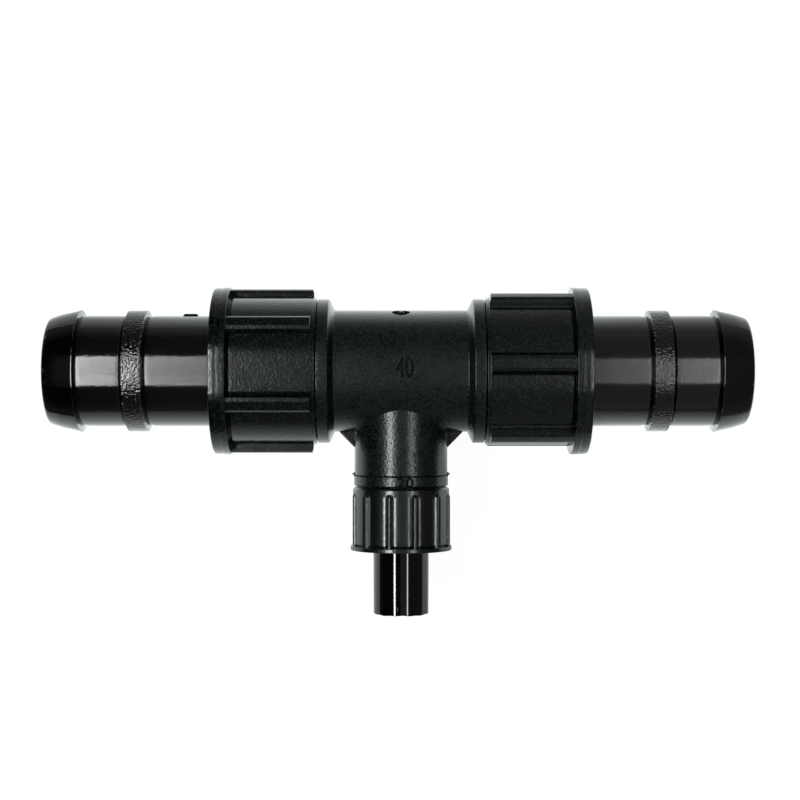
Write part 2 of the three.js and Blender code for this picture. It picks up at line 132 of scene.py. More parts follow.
def swept(name, rows, angles, relief=None, capped=False):
    """A mesh swept about +Z, in millimetres. relief gives new reaches and radii by zone and angle."""
    angle = np.asarray(angles)[None, :]
    reach, radius = (np.array([row[at] for row in rows])[:, None] + 0 * angle for at in (0, 1))
    zone = np.array([row[2] for row in rows])[:, None]
    if relief is not None:
        reach, radius = relief(reach, radius, zone, angle)
    points = np.stack([radius * np.cos(angle), radius * np.sin(angle), reach], axis=-1).reshape(-1, 3)
    here = np.arange(reach.size).reshape(reach.shape)
    beside = np.roll(here, -1, axis=1)
    corners = np.stack([here, beside, np.roll(beside, -1, axis=0), np.roll(here, -1, axis=0)], axis=-1)
    faces = corners[:-1 if capped else None].reshape(-1, 4).tolist()
    if capped:
        faces += [here[0].tolist(), here[-1].tolist()]
    mesh = bpy.data.meshes.new(name)
    mesh.from_pydata(points.tolist(), [], faces)
    face_outwards(mesh)
    return mesh


def face_outwards(mesh, weld=None):
    """Turns every face outwards, once points closer than weld are joined."""
    work = bmesh.new()
    work.from_mesh(mesh)
    if weld:
        bmesh.ops.remove_doubles(work, verts=work.verts, dist=weld)
    bmesh.ops.recalc_face_normals(work, faces=work.faces)
    work.to_mesh(mesh)
    work.free()


def turned_solid(name, corners, count, relief=None):
    """A solid without a bore, from an open outline that is capped at both ends."""
    return swept(name, outline(corners, closed=False), even_angles(count), relief, capped=True)


# %% [markdown]
# ## Joining and cutting
# Where two tubes meet, the line between them is best found by a boolean. The solver used here needs
# closed solids and gives a closed solid back, so the result has no stray faces.

# %% Boolean helper
def as_object(data, name):
    thing = bpy.data.objects.new(name, data)
    bpy.context.scene.collection.objects.link(thing)
    return thing


def finished_mesh(thing):
    """The mesh of a thing with its modifiers done. The thing is removed."""
    depsgraph = bpy.context.evaluated_depsgraph_get()
    mesh = bpy.data.meshes.new_from_object(thing.evaluated_get(depsgraph))
    bpy.data.objects.remove(thing)
    return mesh


def combined(mesh, other, operation):
    """A new mesh: mesh with other joined (UNION), cut away (DIFFERENCE) or kept common (INTERSECT)."""
    base = as_object(mesh, "combine_base")
    tool = as_object(other, "combine_tool")
    modifier = base.modifiers.new("combine", "BOOLEAN")
    modifier.operation = operation
    modifier.solver = "MANIFOLD"
    modifier.object = tool
    result = finished_mesh(base)
    bpy.data.objects.remove(tool)
    return result


# %% [markdown]
# ## Where edges wear
# Handling rubs a moulding's outer edges first and leaves them a little lighter and rougher. A shader could
# guess the edges by itself, but the guess is lost when the model leaves Blender. So each mesh stores how
# sharply it bends outwards at each point, spread a little way from the edge, as a plain attribute.

# %% Edge helper
WEAR_SPREAD = 0.35 * MM
WEAR_ROUNDS = 5
WEAR_START, WEAR_FULL = 0.2, 0.55


def values_of(collection, key, width=1, kind=float):
    """One value, or a row of width values, for each item of a collection."""
    values = np.empty(len(collection) * width, dtype=kind)
    collection.foreach_get(key, values)
    return values.reshape(-1, width) if width > 1 else values


def store_values(mesh, name, values):
    attribute = mesh.attributes.new(name, "FLOAT", "POINT")
    attribute.data.foreach_set("value", values.astype(np.float32))


def store_edges(mesh):
    edge_of_loop = values_of(mesh.loops, "edge_index", kind=int)
    totals = values_of(mesh.polygons, "loop_total", kind=int)
    face_of_loop = np.repeat(np.arange(len(totals)), totals)
    order = np.argsort(edge_of_loop, kind="stable")
    first, second = face_of_loop[order].reshape(-1, 2).T
    normals = values_of(mesh.polygons, "normal", 3)
    centres = values_of(mesh.polygons, "center", 3)
    cosine = np.clip(np.einsum("ij,ij->i", normals[first], normals[second]), -1, 1)
    away = np.einsum("ij,ij->i", normals[first] - normals[second], centres[first] - centres[second])
    bend = np.where(away > 0, np.arccos(cosine), 0)
    start, stop = values_of(mesh.edges, "vertices", 2, int).T
    places = values_of(mesh.vertices, "co", 3)
    fade = np.exp(-np.linalg.norm(places[start] - places[stop], axis=1) / WEAR_SPREAD)
    value = np.zeros(len(places))
    np.maximum.at(value, start, bend)
    np.maximum.at(value, stop, bend)
    value = np.clip((value - WEAR_START) / (WEAR_FULL - WEAR_START), 0, 1)
    for _ in range(WEAR_ROUNDS):
        spread = value.copy()
        np.maximum.at(spread, start, value[stop] * fade)
        np.maximum.at(spread, stop, value[start] * fade)
        value = spread
    store_values(mesh, "edge", value)


# %% [markdown]
# ## Placing a piece
# A finished piece is turned to its end, moved to the middle of the tee, and told which body it moves with,
# and the CAD node that it stands for is hidden. Edges that turn by more than 32 degrees stay crisp, and all
# others are shaded smooth.

# %% Placing helper
CRISP = math.radians(32)


def place(name, mesh, end, body, slot, material):
    """Turns a mesh in millimetres to its end and hands it over to the frame."""
    mesh.transform(Matrix.Translation(MIDDLE) @ ENDS[end] @ Matrix.Scale(MM, 4))
    mesh.validate()
    mesh.shade_smooth()
    mesh.set_sharp_from_angle(angle=CRISP)
    store_edges(mesh)
    mesh.materials.clear()
    mesh.materials.append(material)
    thing = as_object(mesh, name + "_moulding")
    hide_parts(name)
    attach(thing, body)
    low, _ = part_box(name)
    print(name, "has", len(mesh.polygons), "faces, its node's box starts at", [round(v, 4) for v in low])


# %% [markdown]
# ## Threads
# Both pipe threads are right-handed ridges with sloping flanks. A ridge could be a swept body joined to its
# wall, but it then ends in a hard step. Here the ridge is a height over the wall: each point asks how far
# it is from the middle of the nearest turn, and the height fades in and out over part of a turn, as it
# does where a moulding tool's thread runs out.

# %% Thread heights
FLANK_SLOPE = math.tan(math.radians(27.5))
THREAD_FADE_TURNS = 0.12


def ridge_height(reach, angle, start, turns, pitch, depth, crest):
    wound = (reach - start) / pitch - angle / TAU
    nearest = np.round(wound)
    aside = np.abs(wound - nearest) * pitch
    turn = nearest + angle / TAU
    height = np.clip(depth - np.maximum(aside - crest / 2, 0) / FLANK_SLOPE, 0, depth)
    fade = np.clip(np.minimum(turn, turns - turn) / THREAD_FADE_TURNS, 0, 1)
    return np.minimum(height, depth * fade)


# %% [markdown]
# ## Sizes that the pieces share
# These are the CAD's sizes, in millimetres, with reaches measured from the middle of the tee. A washer is
# its first and last reach, its bore and its rim. A nut's thread is what its spigot's thread leaves, less a
# gap on every side.

# %% Run sizes
Thread = namedtuple("Thread", "pitch depth crest root start turns nut_turns crest_gap root_gap side_gap")
RUN_THREAD = Thread(pitch=2.309, depth=1.45, crest=0.35, root=22.4, start=37.8, turns=6.5, nut_turns=5,
                    crest_gap=0.35, root_gap=0.32, side_gap=0.2)
RUN_COLLAR, RUN_SPIGOT = 28.8, 53.7
RUN_MOUTH, RUN_NUT_END, RUN_SHOULDER = 29.2, 64.8, 61.8
RUN_NUT_RADIUS, RUN_FLANGE_RADIUS, RUN_HOLE = 25.8, 29.15, 21.45
RUN_WASHER = 54, 57, 17, 22.22
RUN_TAIL_START, RUN_TAIL_FLANGE_END, RUN_TAIL_FLANGE_RADIUS = 58.35, 60.45, 22.32
RUN_TAIL_RADIUS, RUN_TAIL_BORE, RUN_TAIL_END = 19.3, 16, 121.4
RUN_TAIL_FLOAT = 1.05
print("run nut", round(RUN_NUT_END - RUN_MOUTH, 2), "mm long")

# %% Branch sizes
BRANCH_THREAD = Thread(pitch=1.814, depth=1.09, crest=0.3, root=12.06, start=46, turns=4, nut_turns=4,
                       crest_gap=0.3, root_gap=0.29, side_gap=0.15)
BRANCH_COLLAR, BRANCH_SPIGOT = 40.25, 54.3
BRANCH_MOUTH, BRANCH_NUT_END, BRANCH_SHOULDER = 40.6, 62.4, 59.5
BRANCH_NUT_RADIUS, BRANCH_FLANGE_RADIUS, BRANCH_HOLE = 16.85, 17.7, 9.95
BRANCH_WASHER = 54.6, 56.4, 8, 11.9
BRANCH_TAIL_START, BRANCH_TAIL_FLANGE_END, BRANCH_TAIL_FLANGE_RADIUS = 56.7, 59.2, 12
BRANCH_TAIL_RADIUS, BRANCH_TAIL_BORE, BRANCH_TAIL_END = 9.7, 7.2, 84.8
print("branch nut", round(BRANCH_NUT_END - BRANCH_MOUTH, 2), "mm long")

# %% Threads of the spigots and the nuts
THREAD_ROWS = 14
NUT_START_TURNS = -1.5


def spigot_relief(thread):
    def relief(reach, radius, zone, angle):
        local = np.mod(np.where(reach < 0, math.pi - angle, angle), TAU)
        ridge = ridge_height(
            np.abs(reach), local, thread.start, thread.turns, thread.pitch, thread.depth, thread.crest)
        return reach, radius + np.where(zone == "thread", ridge, 0)
    return relief


def nut_root(thread):
    return thread.root + thread.depth + thread.crest_gap


def nut_ridge(thread, reach, angle):
    """Height of the ridge in a nut's bore, with the thread's gaps left round the spigot's ridge."""
    depth = nut_root(thread) - thread.root - thread.root_gap
    spigot_there = thread.crest + 2 * FLANK_SLOPE * (thread.depth - thread.root_gap)
    crest = thread.pitch - spigot_there - 2 * thread.side_gap
    start = thread.start + NUT_START_TURNS * thread.pitch
    return ridge_height(reach, np.mod(angle, TAU), start, thread.nut_turns, thread.pitch, depth, crest)


print("nuts' thread roots", round(nut_root(RUN_THREAD), 2), "and", round(nut_root(BRANCH_THREAD), 2), "mm")

# %% [markdown]
# ## Shader groups that the plastics share
# All the pieces are black mouldings, so what tells them apart is how their surface breaks up a reflection.
# Three effects come back in every finish: the grain that the tool leaves, fine rings from turning, and
# handling marks with lighter edges. Each is one node group with its own values in each material.

# %% Node helpers
def put(value, socket):
    """Links a value to a socket, or sets a plain number or colour on it."""
    if hasattr(value, "links"):
        socket.id_data.links.new(value, socket)
    else:
        socket.default_value = value


def add_node(tree, kind, inputs=None, **settings):
    """A node of one kind with its settings, and a link or a plain value on each named input."""
    node = tree.nodes.new("ShaderNode" + kind)
    for setting, value in settings.items():
        setattr(node, setting, value)
    for label, value in (inputs or {}).items():
        put(value, node.inputs[label])
    return node


def new_group(name, inputs, outputs):
    """A group, what it is given and what it gives out. An input is a number or a vector, like its value."""
    group = bpy.data.node_groups.new(name, "ShaderNodeTree")
    for label, default in inputs.items():
        kind = "NodeSocketFloat" if isinstance(default, float) else "NodeSocketVector"
        group.interface.new_socket(label, in_out="INPUT", socket_type=kind).default_value = default
    for label in outputs:
        group.interface.new_socket(label, in_out="OUTPUT", socket_type="NodeSocketFloat")
    return group, group.nodes.new("NodeGroupInput").outputs, group.nodes.new("NodeGroupOutput").inputs


# %% Sums of nodes
def math_node(operation, first, second=None, clamp=False):
    """One sum, in the node tree that its values belong to."""
    tree = next(value.id_data for value in (first, second) if hasattr(value, "links"))
    inputs = {0: first} if second is None else {0: first, 1: second}
    return add_node(tree, "Math", inputs, operation=operation, use_clamp=clamp).outputs[0]


def plus(first, second):
    return math_node("ADD", first, second)


def minus(first, second):
    return math_node("SUBTRACT", first, second)


def times(first, *others):
    for other in others:
        first = math_node("MULTIPLY", first, other)
    return first


def masked(value, level, slope):
    """0 below the level, and above it a rise to 1 that is this steep."""
    return math_node("MULTIPLY", minus(value, level), slope, clamp=True)


def noise(place, scale, detail, rough=0.5, dimensions="3D"):
    place_label = "W" if dimensions == "1D" else "Vector"
    inputs = {place_label: place, "Scale": scale, "Detail": detail, "Roughness": rough}
    return add_node(place.id_data, "TexNoise", inputs, noise_dimensions=dimensions).outputs["Fac"]


def ranged(value, start, stop, first=0.0, last=1.0):
    """A value mapped from start to stop onto first to last, and held beyond both."""
    inputs = {"Value": value, "From Min": start, "From Max": stop, "To Min": first, "To Max": last}
    return add_node(value.id_data, "MapRange", inputs).outputs["Result"]


# %% [markdown]
# ### Moulded grain
# A moulding copies its tool's fine spark or blast texture, with slow hills under it where the plastic
# shrank. Two noises at different sizes give the height, and a third one varies the gloss in soft patches.

# %% Grain group
ORIGIN, PATCHES_PER_METRE = (0.0, 0.0, 0.0), 90.0
grain_group, grain_in, grain_out = new_group(
    "Moulded grain",
    {"Place": ORIGIN, "Grain per metre": 2500.0, "Hills per metre": 300.0, "Hill share": 0.3},
    ["Height", "Patches"],
)
where = grain_in["Place"]
fine = noise(where, grain_in["Grain per metre"], 0.6)
hills = noise(where, grain_in["Hills per metre"], 3)
hills = times(hills, grain_in["Hill share"])
put(plus(fine, hills), grain_out["Height"])
put(noise(where, PATCHES_PER_METRE, 4, 0.65), grain_out["Patches"])
print("grain group has", len(grain_group.nodes), "nodes")

# %% [markdown]
# ### Turning rings
# The steel cores and cavities of round tooling are turned on a lathe, and the plastic keeps their faint
# rings. The rings depend only on the reach along the axis, so a noise in one dimension is enough, and a
# weak slow noise round the piece keeps them from being perfectly even.

# %% Ring group
SWAY_PER_METRE, SWAY_REACH = 60.0, 0.0004
ring_group, ring_in, ring_out = new_group(
    "Turning rings",
    {"Place": ORIGIN, "Along": (1.0, 0.0, 0.0), "Rings per metre": 2200.0},
    ["Height"],
)
where = ring_in["Place"]
along = add_node(ring_group, "VectorMath", {0: where, 1: ring_in["Along"]}, operation="DOT_PRODUCT")
sway = times(noise(where, SWAY_PER_METRE, 2), SWAY_REACH)
swayed = plus(along.outputs["Value"], sway)
rings = noise(swayed, ring_in["Rings per metre"], 3, 0.6, "1D")
put(rings, ring_out["Height"])
print("ring group has", len(ring_group.nodes), "nodes")

# %% [markdown]
# ### Handling marks
# Fittings knock against each other in their box. That leaves short pale nicks on the outer edges and a few
# scratches on the faces. The nicks are the stored edge value broken up by a noise. The scratches are
# thin cracks of a stretched cell pattern, kept only where a slow noise is high.

# %% Handling group
CHIPS_PER_METRE, CHIP_SLOPE = 900.0, 14.0
SCRATCH_TURN, SCRATCH_STRETCH = (0.5, 0.3, 0.8), (1.0, 0.12, 1.0)
CRACKS_PER_METRE, CRACK_WIDTH, CRACK_SLOPE = 330.0, 0.012, 110.0
SPARSE_PER_METRE, SPARSE_SLOPE = 120.0, 20.0
wear_group, wear_in, wear_out = new_group(
    "Handling marks",
    {"Place": ORIGIN, "Edge": 0.0, "Nick level": 0.62, "Scratch level": 0.72},
    ["Nicks", "Scratches"],
)
where = wear_in["Place"]
chips = noise(where, CHIPS_PER_METRE, 5, 0.7)
chips = masked(chips, wear_in["Nick level"], CHIP_SLOPE)
nicks = math_node("MULTIPLY", chips, wear_in["Edge"], clamp=True)
put(nicks, wear_out["Nicks"])
stretch = add_node(
    wear_group, "Mapping", {"Vector": where, "Rotation": SCRATCH_TURN, "Scale": SCRATCH_STRETCH})
cells = add_node(
    wear_group, "TexVoronoi", {"Vector": stretch.outputs["Vector"], "Scale": CRACKS_PER_METRE},
    feature="DISTANCE_TO_EDGE")
thin = masked(CRACK_WIDTH, cells.outputs["Distance"], CRACK_SLOPE)
sparse = noise(where, SPARSE_PER_METRE, 3)
sparse = masked(sparse, wear_in["Scratch level"], SPARSE_SLOPE)
put(times(thin, sparse), wear_out["Scratches"])
print("handling group has", len(wear_group.nodes), "nodes")

# %% [markdown]
# ## The black plastics
# The mouldings are polypropylene with carbon black: almost no colour of its own, and a reflection of about
# four parts in a hundred. The finish lives in the roughness and the bump. One function wires the shared
# groups into a material, and each plastic gets its own values.

# %% Colour mix
def colour_mix(share, first, second):
    """A mix of two colours, each a link or three numbers."""
    first, second = (value if hasattr(value, "links") else (*value, 1) for value in (first, second))
    inputs = {"Factor": share, "A": first, "B": second}
    return add_node(share.id_data, "Mix", inputs, data_type="RGBA").outputs["Result"]


# %% Plastic helper
PLASTIC_IOR, SCRATCH_LEVEL, DRAWN_TURN = 1.5, 0.72, 0.25
WORN_ROUGHER, WORN_DENT = 0.25, 1.5
COARSE_PER_METRE, SMOOTHER = 1450.0, 0.12
FLECK_START, FLECK_FULL = 0.62, 0.82
FLECK_TINT = (0.65, 1.1, 1.0)
ALONG_RUN, ALONG_BRANCH = (1.0, 0.0, 0.0), (0.0, 1.0, 0.0)


def plastic(name, colour, worn, roughness, swing, bump, grain, hill_share, rings=0.0, along=ALONG_RUN,
            fleck=0.008, nick_level=0.62, rough_zone=0.0, drawn=0.0, shine=0.5, tint=(1.0, 1.0, 1.0)):
    """A plastic in the given colour, whose worn marks are a lighter grey."""
    material = bpy.data.materials.new(name)
    material.use_nodes = True
    tree = material.node_tree
    shader = tree.nodes["Principled BSDF"]
    shader.inputs["IOR"].default_value = PLASTIC_IOR
    shader.inputs["Specular IOR Level"].default_value = shine
    shader.inputs["Specular Tint"].default_value = (*tint, 1.0)
    if drawn:
        shader.inputs["Anisotropic"].default_value = drawn
        shader.inputs["Anisotropic Rotation"].default_value = DRAWN_TURN
        around = add_node(tree, "Tangent", direction_type="RADIAL", axis="X")
        put(around.outputs["Tangent"], shader.inputs["Tangent"])
    where = add_node(tree, "TexCoord").outputs["Object"]
    edge = add_node(tree, "Attribute", attribute_name="edge").outputs["Fac"]
    texture = add_node(tree, "Group", node_tree=grain_group, inputs={
        "Place": where, "Grain per metre": grain, "Hill share": hill_share})
    turning = add_node(tree, "Group", node_tree=ring_group, inputs={"Place": where, "Along": along})
    marks = add_node(tree, "Group", node_tree=wear_group, inputs={
        "Place": where, "Edge": edge, "Nick level": nick_level, "Scratch level": SCRATCH_LEVEL})
    pale = math_node("MAXIMUM", marks.outputs["Nicks"], marks.outputs["Scratches"])
    flecks = ranged(texture.outputs["Height"], FLECK_START, FLECK_FULL)
    flecked = colour_mix(flecks, colour, [fleck * share for share in FLECK_TINT])
    put(colour_mix(pale, flecked, (worn, worn, worn)), shader.inputs["Base Color"])
    rough = plus(times(minus(texture.outputs["Patches"], 0.5), swing), roughness)
    rough = plus(rough, times(pale, WORN_ROUGHER))
    height = plus(texture.outputs["Height"], times(turning.outputs["Height"], rings))
    if rough_zone:
        zone = add_node(tree, "Attribute", attribute_name="rough").outputs["Fac"]
        coarse = times(math_node("MAXIMUM", zone, 0.0), rough_zone)
        speckle = noise(where, COARSE_PER_METRE, 0.5)
        height = plus(height, times(speckle, coarse))
        rough = plus(rough, times(math_node("MINIMUM", zone, 0.0), SMOOTHER))
    put(rough, shader.inputs["Roughness"])
    dented = minus(height, times(pale, WORN_DENT))
    raised = add_node(tree, "Bump", {"Strength": 1.0, "Distance": bump, "Height": dented})
    put(raised.outputs["Normal"], shader.inputs["Normal"])
    return material


# %% [markdown]
# ### Five plastics and a rubber
# The tee body is the dullest. The nuts are satin with faint turning rings, and the run nuts stretch a
# highlight round themselves. The tails stretch it further and are smooth at the nose, but their mid barb
# is coarse. The branch tail is cut from drawn pipe, so it is glossy. The washers are matt black rubber.

# %% Finishes
GREENISH = (0.93, 1.0, 0.98)
tee_plastic = plastic(
    "tee_plastic", (0.0005, 0.0006, 0.0006), worn=0.12, roughness=0.27, swing=0.10, bump=0.00007,
    grain=1250.0, hill_share=0.5, shine=0.38, fleck=0.006, tint=GREENISH)
nut_plastic = plastic(
    "nut_plastic", (0.0005, 0.0006, 0.0007), worn=0.16, roughness=0.20, swing=0.08, bump=0.00007,
    grain=1250.0, hill_share=0.3, rings=0.2, drawn=0.5, shine=0.47, nick_level=0.68, fleck=0.006,
    tint=GREENISH)
branch_nut_plastic = plastic(
    "branch_nut_plastic", (0.0005, 0.0006, 0.0007), worn=0.16, roughness=0.25, swing=0.08, bump=0.00003,
    grain=1400.0, hill_share=0.4, rings=0.2, along=ALONG_BRANCH, nick_level=0.68, shine=0.6,
    fleck=0.003, tint=GREENISH)
tail_plastic = plastic(
    "tail_plastic", (0.0004, 0.0004, 0.0005), worn=0.18, roughness=0.195, swing=0.06, bump=0.00002,
    grain=1300.0, hill_share=0.3, rings=0.4, rough_zone=12.0, drawn=0.95, shine=0.78, fleck=0.001,
    nick_level=0.57)
pipe_plastic = plastic(
    "pipe_plastic", (0.0006, 0.0006, 0.0007), worn=0.16, roughness=0.07, swing=0.03, bump=0.000003,
    grain=1500.0, hill_share=1.0, rings=0.3, along=ALONG_BRANCH, fleck=0.001)
washer_rubber = plastic(
    "washer_rubber", (0.010, 0.010, 0.010), worn=0.05, roughness=0.75, swing=0.1, bump=0.00003,
    grain=1800.0, hill_share=0.5)
print("finishes:", tee_plastic.name, nut_plastic.name, tail_plastic.name, pipe_plastic.name)

# %% [markdown]
# ## The tee body: run tube and branch tube
# The body is one moulding, so it has to be one mesh. The run tube is swept with its collars and both
# spigot threads in one outline, and the branch tube with its own. The left thread is the right one turned
# round, so on that side the reach is counted the other way and the angle from the other side.

# %% Run tube
TUBE_RADIUS, COLLAR_RADIUS = 21.2, 25.1
COLLAR_START, CHAMFER_START = 25, 23.1
RUN_STEP = RUN_THREAD.pitch / THREAD_ROWS
run_half = [
    (CHAMFER_START, TUBE_RADIUS, 0.25),
    (COLLAR_START, COLLAR_RADIUS, 0.3),
    (RUN_COLLAR, COLLAR_RADIUS, 0.25),
    (RUN_COLLAR, RUN_THREAD.root, 0.3, RUN_STEP, "thread"),
    (RUN_SPIGOT, RUN_THREAD.root, 0.5),
    (RUN_SPIGOT, 0.5),
]
mirrored = [(-corner[0], *corner[1:3]) for corner in reversed(run_half)]
mirrored[1] = (-RUN_SPIGOT, RUN_THREAD.root, 0.5, RUN_STEP, "thread")
run_tube = turned_solid("run_tube", mirrored + run_half, 160, spigot_relief(RUN_THREAD))
run_tube.transform(ENDS["right"])
print("run tube has", len(run_tube.polygons), "faces")

# %% Branch tube
BRANCH_TUBE_RADIUS, BRANCH_COLLAR_RADIUS, BRANCH_COLLAR_START = 16.2, 16.42, 36.6
BRANCH_STEP = BRANCH_THREAD.pitch / THREAD_ROWS
LINE_WIDTH, LINE_DEPTH, GAP_CHAMFER = 0.5, 0.45, 0.55
branch_tube = turned_solid("branch_tube", [
    (0.5, 1),
    (0.5, BRANCH_TUBE_RADIUS),
    (BRANCH_COLLAR_START - LINE_WIDTH, BRANCH_TUBE_RADIUS, 0.05),
    (BRANCH_COLLAR_START, BRANCH_TUBE_RADIUS - LINE_DEPTH, 0.05),
    (BRANCH_COLLAR_START, BRANCH_COLLAR_RADIUS, 0.08),
    (BRANCH_COLLAR - GAP_CHAMFER, BRANCH_COLLAR_RADIUS, 0.12),
    (BRANCH_COLLAR, BRANCH_COLLAR_RADIUS - GAP_CHAMFER, 0.12),
    (BRANCH_COLLAR, BRANCH_THREAD.root, 0.2, BRANCH_STEP, "thread"),
    (BRANCH_SPIGOT, BRANCH_THREAD.root, 0.4),
    (BRANCH_SPIGOT, 1),
], 128, spigot_relief(BRANCH_THREAD))
branch_tube.transform(ENDS["branch"])
print("branch tube has", len(branch_tube.polygons), "faces")

# %% [markdown]
# ## Webs, pips, gate dimple and size numbers
# Two flat webs brace the branch. Each pip is a scrap of flash where the tool's halves met. The dimple with
# its nib is where the plastic was fed in. Plain size numbers stand on the run and on the branch collar:
# upright digits are cut in to a flat floor, deep enough for it to lie in shade.

# %% Web and pip solids
WEB_THICKNESS, WEB_SIDE, WEB_END = 3.5, 21.6, 26.7
PIP_ROOT, PIP_TIP, PIP_BACK, PIP_WIDTH = 15, 17.2, 1.4, 1.6


def slab(name, points, thickness, soft):
    """A flat plate in the XY plane, centred on it, from a list of corners."""
    work = bmesh.new()
    low, high = ([work.verts.new((x, y, z)) for x, y in points] for z in (-thickness / 2, thickness / 2))
    work.faces.new(low)
    work.faces.new(high)
    for at in range(len(points)):
        after = (at + 1) % len(points)
        work.faces.new([low[at], low[after], high[after], high[at]])
    bmesh.ops.bevel(work, geom=work.edges[:], offset=soft, segments=3, affect="EDGES", profile=0.5)
    bmesh.ops.recalc_face_normals(work, faces=work.faces)
    mesh = bpy.data.meshes.new(name)
    work.to_mesh(mesh)
    work.free()
    return mesh


half_web = [(WEB_SIDE, 0), (WEB_SIDE, -TUBE_RADIUS), (BRANCH_TUBE_RADIUS, -WEB_END)]
webs = slab("webs", half_web + [(-x, y) for x, y in reversed(half_web)], WEB_THICKNESS, 0.35)
pip_outline = [
    (PIP_ROOT, PIP_BACK),
    (BRANCH_TUBE_RADIUS, PIP_BACK),
    (PIP_TIP, PIP_BACK / 2),
    (BRANCH_COLLAR_RADIUS, 0),
    (PIP_ROOT, 0),
]
pips = []
for side in (1, -1):
    pip_points = [(side * x, y - BRANCH_COLLAR_START) for x, y in pip_outline]
    pips.append(slab("pip", pip_points, PIP_WIDTH, 0.1))
print("webs and pips:", 1 + len(pips), "solids")

# %% Sunk numbers
DIGIT_BOLDNESS, DIGIT_BLOCK, DIGIT_WELD = 0.1, 6, 1e-4


def number_cutter(digits, size, squeeze, x, y, floor):
    """Upright digits that reach from a flat floor to far above the tube, read from above."""
    curve = bpy.data.curves.new("number_" + digits, "FONT")
    curve.body = digits
    curve.size = size
    curve.align_x = curve.align_y = "CENTER"
    curve.offset = DIGIT_BOLDNESS
    curve.extrude = DIGIT_BLOCK
    curve.resolution_u = 6
    mesh = finished_mesh(as_object(curve, "number_" + digits))
    mesh.transform(Matrix.Translation((x, y, floor + DIGIT_BLOCK)) @ Matrix.Diagonal((squeeze, 1, 1, 1)))
    face_outwards(mesh, DIGIT_WELD)
    return mesh


numbers = [
    number_cutter("40", size=10.0, squeeze=0.62, x=1.3, y=0.6, floor=TUBE_RADIUS - 2.2),
    number_cutter("20", size=4.4, squeeze=1.3, x=1.5, y=-38.45, floor=BRANCH_COLLAR_RADIUS - 2.6),
]
print("numbers have", [len(mesh.polygons) for mesh in numbers], "faces")

# %% Gate dimple
DIMPLE_RADIUS, DIMPLE_DEPTH, DIMPLE_TILT = 3, 1.2, math.radians(17)
DIMPLE_DRAFT, DIMPLE_TOP = 0.3, TUBE_RADIUS + 2
NIB_RADIUS, NIB_RISE = 0.7, 0.35
dimple_floor = TUBE_RADIUS - DIMPLE_DEPTH
dimple = turned_solid("dimple", [
    (dimple_floor, 0.4),
    (dimple_floor, DIMPLE_RADIUS, 0.5),
    (DIMPLE_TOP, DIMPLE_RADIUS + DIMPLE_DRAFT),
    (DIMPLE_TOP, 0.4),
], 64)
nib = turned_solid("nib", [
    (dimple_floor - 1, 0.1),
    (dimple_floor - 1, NIB_RADIUS),
    (TUBE_RADIUS + NIB_RISE, NIB_RADIUS, 0.2),
    (TUBE_RADIUS + NIB_RISE, 0.1),
], 24)
for mesh in (dimple, nib):
    mesh.transform(Matrix.Rotation(-math.pi / 2 + DIMPLE_TILT, 4, "X"))
print("dimple", 2 * DIMPLE_RADIUS, "mm across")

# %% [markdown]
# ## Boring the body
# The bores are cut last, through everything that was joined, as the steel cores leave them in the real
# moulding. The branch core is stepped, because its spigot is narrower than the branch tube.

# %% Tee body
RUN_BORE, BRANCH_BORE, BORE_STEP, BRANCH_SPIGOT_BORE = 18, 13, 36, 9.5
CORE_END = 56
run_core = turned_solid("run_core", [
    (-CORE_END, RUN_BORE, 0, 2 * CORE_END),
    (CORE_END, RUN_BORE),
], 128)
run_core.transform(ENDS["right"])
branch_core = turned_solid("branch_core", [
    (0.2, 0.5, 0, 2.0),
    (0.2, BRANCH_BORE, 0, 2.0),
    (BORE_STEP, BRANCH_BORE, 0.6, 2.0),
    (BORE_STEP, BRANCH_SPIGOT_BORE, 0.3, 2.0),
    (CORE_END, BRANCH_SPIGOT_BORE, 0, 2.0),
    (CORE_END, 0.5),
], 96)
branch_core.transform(ENDS["branch"])
body_mesh = run_tube
for extra in (branch_tube, webs, *pips):
    body_mesh = combined(body_mesh, extra, "UNION")
for cut in (dimple, run_core, branch_core, *numbers):
    body_mesh = combined(body_mesh, cut, "DIFFERENCE")
body_mesh = combined(body_mesh, nib, "UNION")
body_mesh.transform(ENDS["right"].inverted())
place("tee_body", body_mesh, "right", "tee", "tee_plastic", tee_plastic)

# %% [markdown]
# ## Run nuts
# Each nut is a threaded sleeve with six wide ribs for the hand and a flange at its far end. The ribs are
# part of the same skin, so they are a height over the sleeve: flat on top, then a bevel and a steep side
# to the left and right, and a rounded end near the mouth. The columns of the grid are set close together
# at the ribs' sides, where the shape changes fastest, and far apart on the plain wall.

# %% Rib angles and heights
RIB_COUNT, RIB_START = 6, 30.1
RIB_HALF_FOOT, RIB_HALF_SHOULDER, RIB_HALF_TOP = 3.0, 2.5, 1.45
RIB_SHOULDER_HEIGHT, RIB_HEIGHT = 2.3, 2.9
RIB_LINE_DEPTH, RIB_LINE_WIDTH = 0.5, 0.85
LEFT_FIRST_RIB, RIGHT_FIRST_RIB = math.radians(35), math.radians(-4.5)
RIB_SOFT, RIB_END_LENGTH = 0.12, 0.7


def rib_angles(first, count, wall, offsets, between):
    """Angles of a nut's columns: the given offsets in millimetres at each rib, and even ones between."""
    pitch_angle = TAU / count
    near = sorted({side * value / wall for value in offsets for side in (-1, 1)})
    gap_start, gap_end = near[-1], pitch_angle + near[0]
    gap = [gap_start + (gap_end - gap_start) * part / between for part in range(1, between)]
    angles = [first + rib * pitch_angle + offset for rib in range(count) for offset in near + gap]
    return np.array(sorted(angle % TAU for angle in angles))


